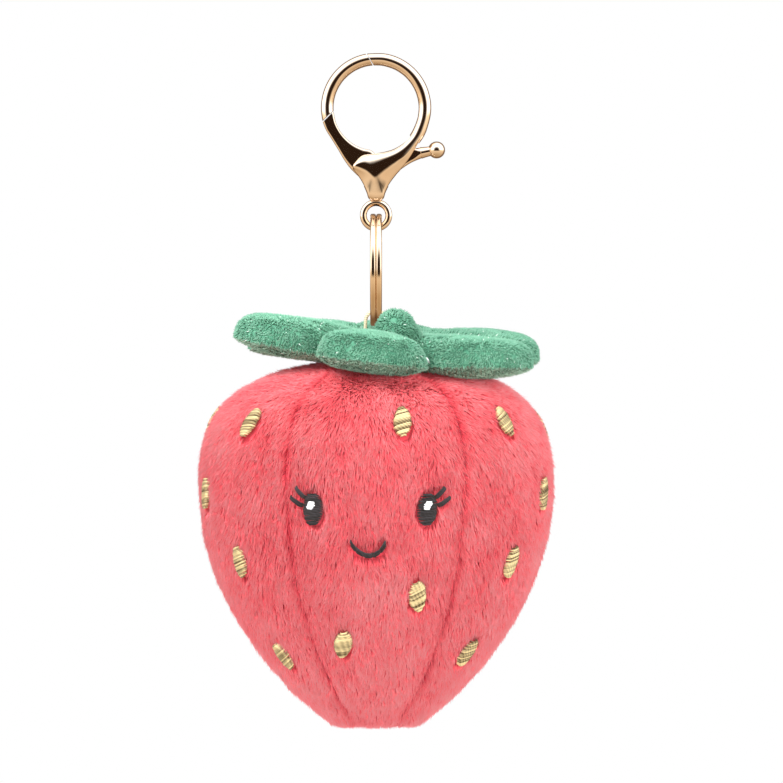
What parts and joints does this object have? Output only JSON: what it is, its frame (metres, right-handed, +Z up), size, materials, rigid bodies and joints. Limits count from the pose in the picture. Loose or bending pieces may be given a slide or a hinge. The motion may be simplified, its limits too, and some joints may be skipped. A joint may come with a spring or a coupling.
{
  "type": "plush keychain",
  "caption": "Strawberry-shaped stuffed charm with a stitched smiling face and a padded leafy calyx, hung by a ribbon from a split ring and a lobster clasp.",
  "frame": {"origin": "the hang point: the inner top of the clasp's ring", "axes": "+X to the right of the face, +Y away from the face, +Z up along the hanging charm"},
  "size_m": [0.0774, 0.0783, 0.1448],
  "materials": {
    "gold_alloy": "polished plating",
    "gold_wire": "polished plating",
    "spring_steel": "bright",
    "cream_ribbon": "woven tape",
    "green_plush": "short pile",
    "green_backing": "short pile",
    "red_plush": "soft pile",
    "red_thread": "sewing thread",
    "gold_thread": "metallic satin stitch",
    "black_thread": "satin stitch",
    "white_thread": "satin stitch",
    "white_filling": "polyester fibre"
  },
  "bodies": {
    "clasp": {"clasp_body": "gold_alloy", "hook_tip": "gold_alloy", "lever_rivet": "gold_alloy", "lever_spring": "spring_steel"},
    "gate": {"gate_lever": "gold_alloy"},
    "ring": {"split_ring": "gold_wire"},
    "loop": {"ribbon_loop": "cream_ribbon"},
    "plush": {"loop_tail": "cream_ribbon", "calyx_top": "green_plush", "stem_cover": "green_plush", "calyx_underside": "green_backing", "calyx_wadding": "white_filling", "stem_stuffing": "white_filling", "berry_stuffing": "white_filling", "calyx_tacks": "white_thread", "gore_front": "red_plush", "gore_front_right": "red_plush", "gore_back_right": "red_plush", "gore_back": "red_plush", "gore_back_left": "red_plush", "gore_front_left": "red_plush", "base_panel": "red_plush", "seam_threads": "red_thread", "left_eye": "black_thread", "right_eye": "black_thread", "left_lashes": "black_thread", "right_lashes": "black_thread", "mouth": "black_thread", "left_glint": "white_thread", "right_glint": "white_thread", "seed_1": "gold_thread", "seed_2": "gold_thread", "seed_3": "gold_thread", "seed_4": "gold_thread", "seed_5": "gold_thread", "seed_6": "gold_thread", "seed_7": "gold_thread", "seed_8": "gold_thread", "seed_9": "gold_thread", "seed_10": "gold_thread", "seed_11": "gold_thread", "seed_12": "gold_thread", "seed_13": "gold_thread", "seed_14": "gold_thread", "seed_15": "gold_thread", "seed_16": "gold_thread", "seed_17": "gold_thread", "seed_18": "gold_thread", "seed_19": "gold_thread", "seed_20": "gold_thread", "seed_21": "gold_thread", "seed_22": "gold_thread", "seed_23": "gold_thread"}
  },
  "joints": [
    {"name": "gate_pivot", "type": "hinge", "parent": "clasp", "child": "gate", "pos_m": [-0.0012, 0, -0.0234], "axis": [0, 1, 0], "range_deg": [0, 22], "stiffness_Nm_per_rad": 0.03, "springref_deg": -20.05, "deforming": ["lever_spring"]},
    {"name": "ring_swing", "type": "hinge", "parent": "clasp", "child": "ring", "pos_m": [0, 0, -0.0321], "axis": [0, 1, 0], "range_deg": [-75, 75]},
    {"name": "loop_slide", "type": "hinge", "parent": "ring", "child": "loop", "pos_m": [0, 0, -0.04375], "axis": [1, 0, 0], "range_deg": [-60, 60]},
    {"name": "plush_tilt", "type": "hinge", "parent": "loop", "child": "plush", "pos_m": [0, 0, -0.0582], "axis": [0, 1, 0], "range_deg": [-20, 20]}
  ]
}
